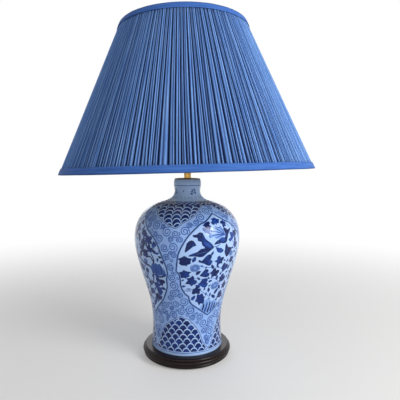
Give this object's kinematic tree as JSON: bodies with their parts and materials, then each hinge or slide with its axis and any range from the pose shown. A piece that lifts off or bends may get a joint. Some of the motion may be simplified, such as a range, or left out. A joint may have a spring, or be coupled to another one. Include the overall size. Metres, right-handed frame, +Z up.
{
  "type": "table lamp",
  "caption": "Table lamp with a blue and white porcelain vase on a turned wooden base and a leaning pleated blue cloth shade on a harp, with a screw-in bulb.",
  "frame": {"origin": "middle of the felt's underside, where the lamp stands", "axes": "+Z up along the vase's axis, -Y towards the viewer and the switch, +Y towards the cord inlet, the shade leans towards -X"},
  "size_m": [0.4137, 0.414, 0.551],
  "materials": {
    "felt": "matt pressed felt",
    "mahogany": "dark stain under satin lacquer",
    "black_plastic": "moulded, satin",
    "steel": "zinc plated",
    "porcelain": "clear glaze over blue underglaze painting",
    "brass_plate": "brass plated, satin",
    "antique_brass": "darkened",
    "polished_brass": "polished, lacquered",
    "card": "pressed fibre card",
    "aluminium_shell": "rolled thread, bright",
    "frosted_glass": "frosted inside",
    "clear_glass": "clear",
    "blue_cloth": "pleated blue cotton and silk blend",
    "lining_cloth": "stretched off-white lining"
  },
  "bodies": {
    "root": {"felt_pad": "felt", "wooden_base": "mahogany", "cord_bushing": "black_plastic", "base_washer": "steel", "base_locknut": "steel", "vase": "porcelain", "threaded_pipe": "brass_plate", "vase_cap": "antique_brass", "neck_tube": "polished_brass", "harp_saddle": "brass_plate", "socket_cap": "polished_brass", "socket_set_screw": "steel", "socket_shell": "polished_brass", "insulating_sleeve": "card", "socket_insulator": "black_plastic", "terminal_screws": "polished_brass", "screw_shell": "aluminium_shell", "centre_contact": "polished_brass"},
    "switch": {"switch_shaft": "polished_brass", "switch_knob": "black_plastic"},
    "bulb": {"bulb_glass": "frosted_glass", "bulb_base": "aluminium_shell", "bulb_insulator": "black_plastic", "bulb_tip": "steel", "bulb_stem": "clear_glass", "bulb_filament": "steel"},
    "harp": {"harp": "brass_plate"},
    "ferrule_left": {"ferrule_left": "polished_brass"},
    "ferrule_right": {"ferrule_right": "polished_brass"},
    "swivel": {"swivel_seat": "polished_brass", "swivel_stud": "brass_plate"},
    "shade": {"shade_top_ring": "steel", "shade_bottom_ring": "steel", "shade_ribs": "steel", "shade_spider": "brass_plate", "shade_cover": "blue_cloth", "shade_lining": "lining_cloth", "shade_bottom_trim": "blue_cloth", "shade_top_trim": "blue_cloth"},
    "finial": {"finial": "polished_brass"}
  },
  "joints": [
    {"name": "harp_lift", "type": "slide", "parent": "root", "child": "harp", "axis": [-0.0335, 0, 0.9994], "range_m": [0, 0.022]},
    {"name": "ferrule_left_slide", "type": "slide", "parent": "harp", "child": "ferrule_left", "axis": [-0.0335, 0, 0.9994], "range_m": [0, 0.016]},
    {"name": "ferrule_right_slide", "type": "slide", "parent": "harp", "child": "ferrule_right", "axis": [-0.0335, 0, 0.9994], "range_m": [0, 0.016]},
    {"name": "shade_swivel", "type": "hinge", "parent": "harp", "child": "swivel", "pos_m": [0, 0, 0.32095], "axis": [-0.0335, 0, 0.9994], "continuous": true},
    {"name": "shade_lift", "type": "slide", "parent": "swivel", "child": "shade", "axis": [-0.0335, 0, 0.9994], "range_m": [0, 0.02]},
    {"name": "finial_lift", "type": "slide", "parent": "shade", "child": "finial", "axis": [-0.0335, 0, 0.9994], "range_m": [0, 0.014]},
    {"name": "bulb_lift", "type": "slide", "parent": "root", "child": "bulb", "axis": [0, 0, 1], "range_m": [0, 0.028]},
    {"name": "switch_turn", "type": "hinge", "parent": "root", "child": "switch", "pos_m": [0, -0.02, 0.35435], "axis": [0, -1, 0], "continuous": true}
  ]
}
